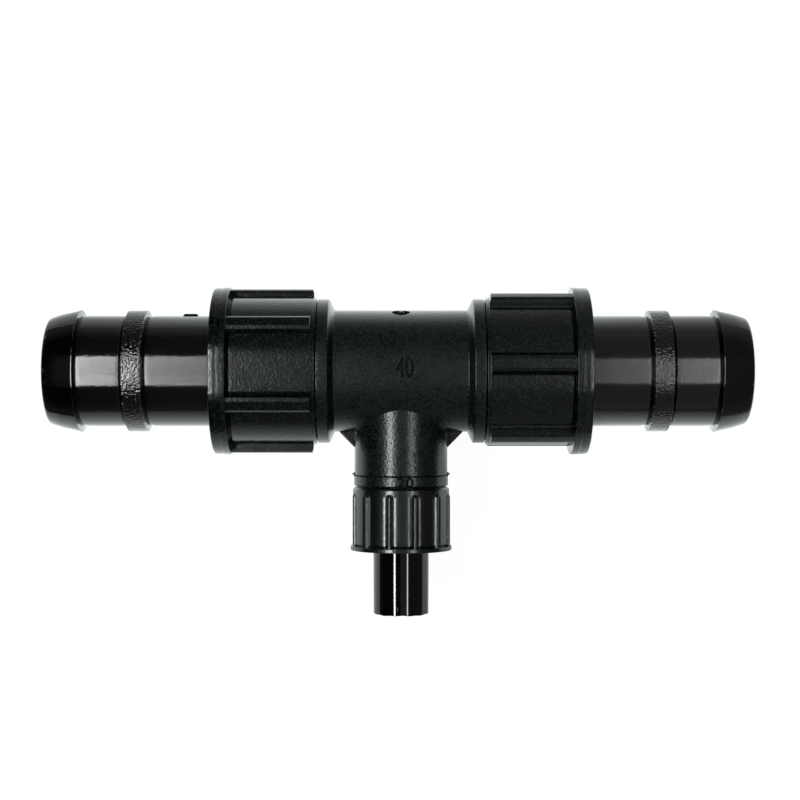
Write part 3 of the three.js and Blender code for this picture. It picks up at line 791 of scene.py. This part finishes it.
def distance_to_rib(angle, first, count, wall):
    """How far round the wall each angle is from the middle of its nearest rib."""
    pitch_angle = TAU / count
    aside = np.mod(angle - first + pitch_angle / 2, pitch_angle) - pitch_angle / 2
    return np.abs(aside) * wall


def run_rib_height(aside, reach):
    bevel = np.clip((aside - RIB_HALF_TOP) / (RIB_HALF_SHOULDER - RIB_HALF_TOP), 0, 1)
    crown = RIB_HEIGHT - (RIB_HEIGHT - RIB_SHOULDER_HEIGHT) * bevel
    side = RIB_SHOULDER_HEIGHT * (RIB_HALF_FOOT - aside) / (RIB_HALF_FOOT - RIB_HALF_SHOULDER)
    section = np.where(aside < RIB_HALF_SHOULDER, crown, side)
    along_rib = (reach - RIB_START) / RIB_END_LENGTH
    end = np.where(along_rib > 0, RIB_HEIGHT * np.clip(along_rib, 0, None) ** 0.6, along_rib)
    height = np.minimum(section, end)
    return (height + np.sqrt(height**2 + RIB_SOFT**2) - RIB_SOFT) / 2


def sunk_line(away, depth, width):
    """A sharp line cut round a rib, from how far each point lies outside the rib."""
    return depth * np.clip(1 - np.abs(away - width / 2) / (width / 2), 0, 1)


# %% Run nut outline
RUN_FLANGE_THICKNESS, FLANGE_LINE_DEPTH, FLANGE_LINE_WIDTH = 5.7, 0.55, 1.15
MOUTH_STEP, MOUTH_LIP = 0.9, 0.25
RIM_STEP, ON_WALL = 0.12, 0.01
flange_start = RUN_NUT_END - RUN_FLANGE_THICKNESS
lip = RUN_NUT_RADIUS - MOUTH_LIP
run_nut_corners = [
    (RUN_MOUTH, nut_root(RUN_THREAD), 0.25, RUN_STEP, "thread"),
    (RUN_SHOULDER, nut_root(RUN_THREAD), 0.3),
    (RUN_SHOULDER, RUN_HOLE, 0.15),
    (RUN_NUT_END, RUN_HOLE, 0.2),
    (RUN_NUT_END, RUN_FLANGE_RADIUS - 2 * RIM_STEP, 0.5, 0.4, "outside"),
    (RUN_NUT_END - 1.6, RUN_FLANGE_RADIUS - RIM_STEP, 0.15, 0.4, "outside"),
    (RUN_NUT_END - 3.2, RUN_FLANGE_RADIUS - RIM_STEP, 0.15, 0.4, "outside"),
    (RUN_NUT_END - 3.5, RUN_FLANGE_RADIUS, 0.1, 0.4, "outside"),
    (flange_start, RUN_FLANGE_RADIUS, 0.25, 0.15, "outside"),
    (flange_start - 0.2, RUN_NUT_RADIUS - FLANGE_LINE_DEPTH, 0.1, 0.3, "outside"),
    (flange_start - FLANGE_LINE_WIDTH, RUN_NUT_RADIUS, 0.15, 1.2, "outside"),
    (RIB_START + 1.6, RUN_NUT_RADIUS, 0, 0.09, "outside"),
    (RUN_MOUTH + MOUTH_STEP + 0.1, RUN_NUT_RADIUS, 0.05, 0.3),
    (RUN_MOUTH + MOUTH_STEP, lip, 0.05, 0.3),
    (RUN_MOUTH, lip, 0.2, 0.5),
]
RUN_RIB_OFFSETS = [
    0, 0.7, 1.3, 1.45, 1.6, 2.0, 2.35, 2.45, 2.55, 2.7, 2.85, 2.95, 3.0, 3.05, 3.15, 3.42, 3.65, 3.87, 4.2]
run_nut_rows = outline(run_nut_corners)
print("run nut outline has", len(run_nut_rows), "rows")

# %% Run nuts
def ribbed_nut(reach, radius, zone, wall, rib, least, line, ridge):
    """Reaches and radii of a nut: ribs and their sunk lines outside, and a thread inside."""
    sunk = np.where(radius < wall + ON_WALL, radius - line, radius)
    ribbed = np.where(rib > least, np.maximum(radius, wall + rib), sunk)
    radius = np.where(zone == "outside", ribbed, radius)
    return reach, np.where(zone == "thread", radius - ridge, radius)


def run_nut_relief(first_rib):
    def relief(reach, radius, zone, angle):
        aside = distance_to_rib(angle, first_rib, RIB_COUNT, RUN_NUT_RADIUS)
        rib = run_rib_height(aside, reach)
        away = np.hypot(np.maximum(aside - RIB_HALF_FOOT, 0), np.maximum(RIB_START - reach, 0))
        line = sunk_line(away, RIB_LINE_DEPTH, RIB_LINE_WIDTH)
        ridge = nut_ridge(RUN_THREAD, reach, angle)
        return ribbed_nut(reach, radius, zone, RUN_NUT_RADIUS, rib, 0.01, line, ridge)
    return relief


for end, first_rib in (("left", LEFT_FIRST_RIB), ("right", RIGHT_FIRST_RIB)):
    columns = rib_angles(first_rib, RIB_COUNT, RUN_NUT_RADIUS, RUN_RIB_OFFSETS, 7)
    name = end + "_nut"
    nut_mesh = swept(name, run_nut_rows, columns, run_nut_relief(first_rib))
    place(name, nut_mesh, end, name, "nut_plastic", nut_plastic)

# %% [markdown]
# ## Branch nut
# The smaller nut has twelve slim ribs with round ends and a thin flange. A slim rib is a bead, so its height
# depends on the distance to the rib's centre line, which rounds its end without extra work.

# %% Branch nut
SLIM_COUNT, SLIM_START, SLIM_HALF, SLIM_HEIGHT = 12, 43.05, 0.7, 0.65
SLIM_FIRST = math.pi / 2 + math.pi / SLIM_COUNT - math.radians(1.5)
SLIM_LINE_DEPTH, SLIM_LINE_WIDTH = 0.45, 0.7
SLIM_FULLNESS = 2.6
branch_flange_start = BRANCH_NUT_END - 1.4
branch_nut_corners = [
    (BRANCH_MOUTH, nut_root(BRANCH_THREAD), 0.2, BRANCH_STEP, "thread"),
    (BRANCH_SHOULDER, nut_root(BRANCH_THREAD), 0.2),
    (BRANCH_SHOULDER, BRANCH_HOLE, 0.12),
    (BRANCH_NUT_END, BRANCH_HOLE, 0.2),
    (BRANCH_NUT_END, BRANCH_FLANGE_RADIUS, 0.3, 0.5, "outside"),
    (branch_flange_start, BRANCH_FLANGE_RADIUS, 0.2, 0.3, "outside"),
    (branch_flange_start - 0.1, BRANCH_NUT_RADIUS - LINE_DEPTH, 0.1, 0.3, "outside"),
    (branch_flange_start - 1.0, BRANCH_NUT_RADIUS, 0.1, 1.2, "outside"),
    (SLIM_START + 1.4, BRANCH_NUT_RADIUS, 0, 0.1, "outside"),
    (SLIM_START - 0.9, BRANCH_NUT_RADIUS, 0, 0.5, "outside"),
    (BRANCH_MOUTH + GAP_CHAMFER, BRANCH_NUT_RADIUS, 0.12, 0.5),
    (BRANCH_MOUTH, BRANCH_NUT_RADIUS - GAP_CHAMFER, 0.12, 0.5),
]
SLIM_OFFSETS = [0, 0.2, 0.36, 0.5, 0.6, 0.66, 0.7, 0.76, 0.88, 1.05, 1.22, 1.36, 1.5]


def branch_nut_relief(reach, radius, zone, angle):
    aside = distance_to_rib(angle, SLIM_FIRST, SLIM_COUNT, BRANCH_NUT_RADIUS)
    before_end = np.maximum(SLIM_START + SLIM_HALF - reach, 0)
    away = np.sqrt(aside**2 + before_end**2) / SLIM_HALF
    bead = np.maximum(SLIM_HEIGHT * (1 - away**SLIM_FULLNESS), 0)
    line = sunk_line((away - 1) * SLIM_HALF, SLIM_LINE_DEPTH, SLIM_LINE_WIDTH)
    ridge = nut_ridge(BRANCH_THREAD, reach, angle)
    return ribbed_nut(reach, radius, zone, BRANCH_NUT_RADIUS, bead, 0.005, line, ridge)


slim_columns = rib_angles(SLIM_FIRST, SLIM_COUNT, BRANCH_NUT_RADIUS, SLIM_OFFSETS, 5)
branch_nut_mesh = swept("branch_nut", outline(branch_nut_corners), slim_columns, branch_nut_relief)
place("branch_nut", branch_nut_mesh, "branch", "branch_nut", "nut_plastic", branch_nut_plastic)

# %% [markdown]
# ## Run tails
# A tail is a tube with a flange inside the nut, a low rough barb half way, a sharp barb near the end and a
# tapered nose. All of it is one turned outline. The pad that the moulding gate left is a small flat
# height on one side, and the mid barb's coarse skin is marked in an attribute that the finish reads.

# %% Run tail outline
MID_BARB, MID_BARB_END, MID_BARB_RADIUS = 86.7, 94, 21.1
END_BARB, END_BARB_RADIUS = 110.1, 21.3
NOSE_KNEE, NOSE_KNEE_RADIUS, NOSE_FRONT_RADIUS = 117, 19.9, 18.5
FOOT_WIDTH, FOOT_DEPTH = 0.85, 0.55
PLAIN_UNTIL = 2.6
PAD_ROWS_START, PAD_ROWS_END = 69.0, 76.0
wall, foot = RUN_TAIL_RADIUS, RUN_TAIL_RADIUS - FOOT_DEPTH
tail_corners = [
    (RUN_TAIL_START, RUN_TAIL_BORE, 0.3, 2.5),
    (RUN_TAIL_END, RUN_TAIL_BORE, 0.25),
    (RUN_TAIL_END, NOSE_FRONT_RADIUS, 1.3, 1.0, "nose"),
    (NOSE_KNEE, NOSE_KNEE_RADIUS, 1.5, 1.0, "nose"),
    (END_BARB + 0.45, END_BARB_RADIUS, 0.1, 0.3, "nose"),
    (END_BARB + 0.3, END_BARB_RADIUS, 0.06, 0.5, "nose"),
    (END_BARB, foot, 0.06, 3.0, "foot"),
    (END_BARB - FOOT_WIDTH, wall, 0.06, 3.0, "foot"),
    (END_BARB - PLAIN_UNTIL, wall, 0, 1.5),
    (MID_BARB_END + FOOT_WIDTH, wall, 0.06, 0.4),
    (MID_BARB_END, foot, 0.06, 0.4),
    (MID_BARB_END - 0.3, MID_BARB_RADIUS, 0.15, 0.5, "barb"),
    (MID_BARB + 0.5, MID_BARB_RADIUS, 0.15, 0.4, "barb"),
    (MID_BARB, foot, 0.06, 3.0, "foot"),
    (MID_BARB - FOOT_WIDTH, wall, 0.06, 3.0, "foot"),
    (MID_BARB - PLAIN_UNTIL, wall, 0, 1.5),
    (PAD_ROWS_END, wall, 0, 0.14, "pad"),
    (PAD_ROWS_START, wall, 0, 1.5),
    (RUN_TAIL_FLANGE_END, wall, 0.2),
    (RUN_TAIL_FLANGE_END, RUN_TAIL_FLANGE_RADIUS, 0.2),
    (RUN_TAIL_START, RUN_TAIL_FLANGE_RADIUS, 0.2),
]
tail_rows = outline(tail_corners)
print("run tail outline has", len(tail_rows), "rows")

# %% Gate pad and facets
FACET_REACH, FACET_LIMIT, FACET_FADE = 1.5, 0.965, 0.025
PAD_START, PAD_LENGTH, PAD_WIDTH, PAD_HEIGHT = 69.65, 5.4, 3.0, 0.7


def tail_relief(pad_angle):
    def relief(reach, radius, zone, angle):
        aside = np.abs(np.mod(angle - pad_angle + math.pi, TAU) - math.pi) * RUN_TAIL_RADIUS
        inside_width = PAD_WIDTH / 2 - aside
        inside_length = np.minimum(reach - PAD_START, PAD_START + PAD_LENGTH - reach)
        rise = np.clip(np.minimum(inside_width * 3, inside_length) + 0.1, 0, PAD_HEIGHT)
        facet = np.clip((np.abs(np.sin(angle)) - FACET_LIMIT) / FACET_FADE, 0, 1)
        reach = reach - np.where(zone == "foot", FACET_REACH * facet, 0)
        return reach, np.where(zone == "pad", radius + rise, radius)
    return relief


def pad_columns(pad_angle):
    """Angles set close together at the pad, and further apart round the rest."""
    close = np.radians(np.arange(-7, 7.01, 0.4)) + pad_angle
    start, stop = close[-1], close[0] + TAU
    wide = start + (stop - start) * np.arange(1, 176) / 176
    return np.sort(np.mod(np.concatenate([close, wide]), TAU))


print("tail grid has", len(pad_columns(0)), "columns")

# %% Run tails
ZONE_FINISH = {"barb": 1.0, "nose": -1.0}
for end, pad_angle, float_out in (("left", math.pi / 2, RUN_TAIL_FLOAT), ("right", 0.0, -RUN_TAIL_FLOAT)):
    name = end + "_tail"
    columns = pad_columns(pad_angle)
    tail_mesh = swept(name, tail_rows, columns, tail_relief(pad_angle))
    tail_mesh.transform(Matrix.Translation((0, 0, float_out)))
    finish = [ZONE_FINISH.get(row[2], 0.0) for row in tail_rows]
    store_values(tail_mesh, "rough", np.repeat(finish, len(columns)))
    place(name, tail_mesh, end, name, "tail_plastic", tail_plastic)

# %% [markdown]
# ## Branch tail and washers
# The branch tail is a plain cut length of pipe, and the saw left its end a little ragged. The three
# washers are flat rubber rings with softened edges, hidden while the nuts are done up.

# %% Branch tail
RAGGED = 0.07
branch_tail_corners = [
    (BRANCH_TAIL_START, BRANCH_TAIL_BORE, 0.2, 2.0),
    (BRANCH_TAIL_END, BRANCH_TAIL_BORE, 0.15, 0.5, "cut"),
    (BRANCH_TAIL_END, BRANCH_TAIL_RADIUS - 0.1, 0.22, 1.0, "cut"),
    (BRANCH_TAIL_FLANGE_END, BRANCH_TAIL_RADIUS, 0.2),
    (BRANCH_TAIL_FLANGE_END, BRANCH_TAIL_FLANGE_RADIUS, 0.15),
    (BRANCH_TAIL_START, BRANCH_TAIL_FLANGE_RADIUS, 0.15),
]


def pipe_relief(reach, radius, zone, angle):
    uneven_cut = RAGGED * (np.sin(angle * 5) + np.sin(angle * 13 + 1) + 2)
    return reach - np.where(zone == "cut", uneven_cut, 0), radius


pipe_mesh = swept("branch_tail", outline(branch_tail_corners), even_angles(128), pipe_relief)
place("branch_tail", pipe_mesh, "branch", "branch_tail", "pipe_plastic", pipe_plastic)

# %% Washers
WASHER_ROW = 0.8
for end, washer in (("left", RUN_WASHER), ("right", RUN_WASHER), ("branch", BRANCH_WASHER)):
    first, last, bore, rim = washer
    washer_rows = outline([
        (first, bore, 0.3, WASHER_ROW),
        (last, bore, 0.3, WASHER_ROW),
        (last, rim, 0.4, WASHER_ROW),
        (first, rim, 0.4, WASHER_ROW),
    ])
    name = end + "_washer"
    washer_mesh = swept(name, washer_rows, even_angles(96))
    place(name, washer_mesh, end, name, "washer_rubber", washer_rubber)

# %% [markdown]
# ## Floor
# The fitting lies on a sheet of white paper. The camera sees it as plain white apart from the faint
# shadow, and the underside of every round part reflects it. In those reflections it carries painted light
# and shade: a painted glow, brightest under the run and fading away from it, painted light and shade
# behind the run, and a painted shade at the front right of the branch. So one mix gives the sheet its own
# brightness for each kind of ray.

# %% Floor sheet
FLOOR_X, FLOOR_FRONT, FLOOR_BACK, FLOOR_DROP = 0.2, -0.5, 0.22, 0.0001
floor_mesh = bpy.data.meshes.new("floor")
floor_sides = ((FLOOR_FRONT, -1), (FLOOR_FRONT, 1), (FLOOR_BACK, 1), (FLOOR_BACK, -1))
floor_corners = [(side * FLOOR_X, y, -FLOOR_DROP) for y, side in floor_sides]
floor_mesh.from_pydata(floor_corners, [], [(0, 1, 2, 3)])
floor = as_object(floor_mesh, "floor")
floor_paint = bpy.data.materials.new("floor_paint")
floor_paint.use_nodes = True
floor_mesh.materials.append(floor_paint)
print("floor sheet", 2 * FLOOR_X, "m wide")

# %% Floor in reflections, with painted light and shade
PAINTED_GLOW_FADE, PAINTED_GLOW_LEVEL, FAR_LEVEL = -14.0, 1.9, 0.35
BACK_DEPTH, BACK_WIDTH, PAINTED_BACK_LIGHT, PAINTED_BACK_SHADE = 0.05, 0.11, 0.5, -0.4
PAINTED_SHADE_FRONT, PAINTED_SHADE_BACK, PAINTED_SHADE_DEPTH = 0.034, 0.02, 0.42
PAINTED_SHADE_LEFT, PAINTED_SHADE_RIGHT = (-0.01, 0.01), (0.065, 0.08)
tree = floor_paint.node_tree
tree.nodes.clear()
floor_place = add_node(tree, "TexCoord").outputs["Object"]
floor_split = add_node(tree, "SeparateXYZ", {0: floor_place})
floor_x, floor_y = floor_split.outputs["X"], floor_split.outputs["Y"]
aside = math_node("ABSOLUTE", minus(floor_y, RUN_AXIS_Y))
# Painted glow: in reflections the sheet is painted brightest under the run, fading away from it.
near = math_node("EXPONENT", times(aside, PAINTED_GLOW_FADE))
near = plus(times(near, PAINTED_GLOW_LEVEL), FAR_LEVEL)
# Painted light and shade behind the run: in reflections the sheet is lighter in the middle and darker to the
# sides.
behind = ranged(floor_y, RUN_AXIS_Y, RUN_AXIS_Y + BACK_DEPTH)
outwards = ranged(math_node("ABSOLUTE", floor_x), 0.0, BACK_WIDTH, PAINTED_BACK_LIGHT, PAINTED_BACK_SHADE)
painted_back_light_and_shade = plus(times(behind, outwards), 1.0)
# Painted shade: in reflections the sheet is darker in front of the run, from the branch to its right.
in_front = ranged(floor_y, RUN_AXIS_Y - PAINTED_SHADE_FRONT, RUN_AXIS_Y - PAINTED_SHADE_BACK, 1.0, 0.0)
right_start = ranged(floor_x, *PAINTED_SHADE_LEFT, 0.0, PAINTED_SHADE_DEPTH)
right_end = ranged(floor_x, *PAINTED_SHADE_RIGHT, 1.0, 0.0)
outside_painted_shade = minus(1.0, times(right_start, right_end, in_front))
reflected = times(near, painted_back_light_and_shade, outside_painted_shade)
print("floor material has", len(tree.nodes), "nodes so far")

# %% Floor for each kind of ray
PAPER, WHITE = (0.9, 0.9, 0.9, 1), (1, 1, 1)
CAMERA_SHARE, SHOWN_LEVEL = 0.9, 1.06


def seen_directly(rays):
    """1 for rays from the camera, straight or through glass."""
    return math_node("MAXIMUM", rays.outputs["Is Camera Ray"], rays.outputs["Is Transmission Ray"])


rays = add_node(tree, "LightPath")
glossy = rays.outputs["Is Glossy Ray"]
shown = times(seen_directly(rays), SHOWN_LEVEL)
# Reflections see the sheet with its painted light and shade, tinted green. The camera sees it white, with
# only its faint cast shadow.
bright = math_node("MAXIMUM", shown, times(reflected, glossy))
white = add_node(tree, "Emission", {"Color": colour_mix(glossy, WHITE, GREENISH), "Strength": bright})
paper = add_node(tree, "BsdfDiffuse", {"Color": PAPER})
share = times(math_node("MAXIMUM", shown, glossy, clamp=True), CAMERA_SHARE)
mixed = add_node(tree, "MixShader", {0: share, 1: paper.outputs[0], 2: white.outputs[0]})
add_node(tree, "OutputMaterial", {"Surface": mixed.outputs[0]})
print("floor material has", len(tree.nodes), "nodes")

# %% [markdown]
# ## Light
# The glossy branch tail shows two thin bright lines, so two long narrow lamps hang left and right of the
# camera, the left one much the brighter. The round parts show them as bright bands with sharp ends, which
# gives the lamps' length. A large soft lamp high above fills the light to a plain level. The dark plastic
# doesn't mirror it in the photograph, so it is left out of reflections.

# %% Lamps
STRIP_HEIGHT = RUN_AXIS_Z + 0.595
CAMERA_X, CAMERA_Y = 0.0007, 0.0177
LEFT_STRIP_AWAY, RIGHT_STRIP_AWAY, FILL_HEIGHT = 0.296, 0.300, 1.2


def soft_lamp(name, place, width, length, level):
    """An area lamp that faces down. level is its brightness, where a white sheet in it would be 1."""
    lamp = bpy.data.lights.new(name, "AREA")
    lamp.shape = "RECTANGLE"
    lamp.size = width
    lamp.size_y = length
    lamp.energy = level * math.pi * width * length
    thing = as_object(lamp, name)
    thing.location = place
    thing.visible_camera = False
    print(name, "gives", round(lamp.energy, 2), "W")
    return thing


left_place = (CAMERA_X - LEFT_STRIP_AWAY, CAMERA_Y, STRIP_HEIGHT)
right_place = (CAMERA_X + RIGHT_STRIP_AWAY, CAMERA_Y, STRIP_HEIGHT)
soft_lamp("left_strip", left_place, width=0.07, length=0.686, level=40.0)
soft_lamp("right_strip", right_place, width=0.06, length=0.56, level=14.0)
fill = soft_lamp("ceiling_fill", (0, 0, FILL_HEIGHT), width=1.5, length=1.5, level=0.3)
fill.visible_glossy = False

# %% Room
WALL_STOPS = ((0.455, 0.0), (0.498, 0.25), (0.55, 0.29), (0.65, 0.27), (0.75, 0.1))
WALL_FOOT = 0.2
GLOW_STOPS = ((0.0, 0.2), (0.40, 0.3), (0.48, 1.0), (0.53, 1.0), (0.60, 0.75), (1.0, 0.35))
GLOW_LOW, GLOW_HIGH, GLOW_LEVEL = -0.1, 0.28, 0.45
GLOW_FRONT, GLOW_BACK = 0.6, 1.1
world = bpy.data.worlds.new("room")
bpy.context.scene.world = world
world.use_nodes = True
tree = world.node_tree
tree.nodes.clear()
direction = add_node(tree, "SeparateXYZ", {0: add_node(tree, "TexCoord").outputs["Generated"]})
sideways = ranged(direction.outputs["X"], -1.0, 1.0)


def ramp(value, stops):
    """Grey levels by place along a ramp."""
    node = add_node(value.id_data, "ValToRGB", {"Fac": value})
    for index, (at, grey) in enumerate(stops):
        stop = node.color_ramp.elements[index] if index < 2 else node.color_ramp.elements.new(at)
        stop.position = at
        stop.color = (grey, grey, grey, 1)
    return node.outputs["Color"]


above = ranged(direction.outputs["Z"], 0.0, WALL_FOOT)
low_glow = ranged(direction.outputs["Z"], GLOW_LOW, GLOW_HIGH, GLOW_LEVEL, 0.0)
back_glow = ranged(direction.outputs["Y"], -1.0, 1.0, GLOW_FRONT, GLOW_BACK)
glow = times(low_glow, back_glow, ramp(sideways, GLOW_STOPS))
level = plus(times(ramp(sideways, WALL_STOPS), above), glow)
shown = seen_directly(add_node(tree, "LightPath"))
room = add_node(tree, "Background", {"Strength": math_node("MAXIMUM", level, shown)})
add_node(tree, "OutputWorld", {"Surface": room.outputs[0]})
print("room has", len(tree.nodes), "nodes")

# %% [markdown]
# ## Camera
# The photograph looks straight down from about 0.6 m, which is near enough for the nuts to hide part of what
# lies outside them. The lens follows from the width of the view at the run's axis.

# %% Camera
FOCAL_PIXELS, IMAGE_PIXELS = 1700, 800
camera_data = bpy.data.cameras.new("camera")
camera_data.sensor_width = 36
camera_data.lens = FOCAL_PIXELS / IMAGE_PIXELS * camera_data.sensor_width
camera = as_object(camera_data, "camera")
camera.location = (CAMERA_X, CAMERA_Y, STRIP_HEIGHT)
bpy.context.scene.camera = camera
bpy.context.scene.view_settings.view_transform = "Standard"
print("lens", round(camera_data.lens, 2), "mm")
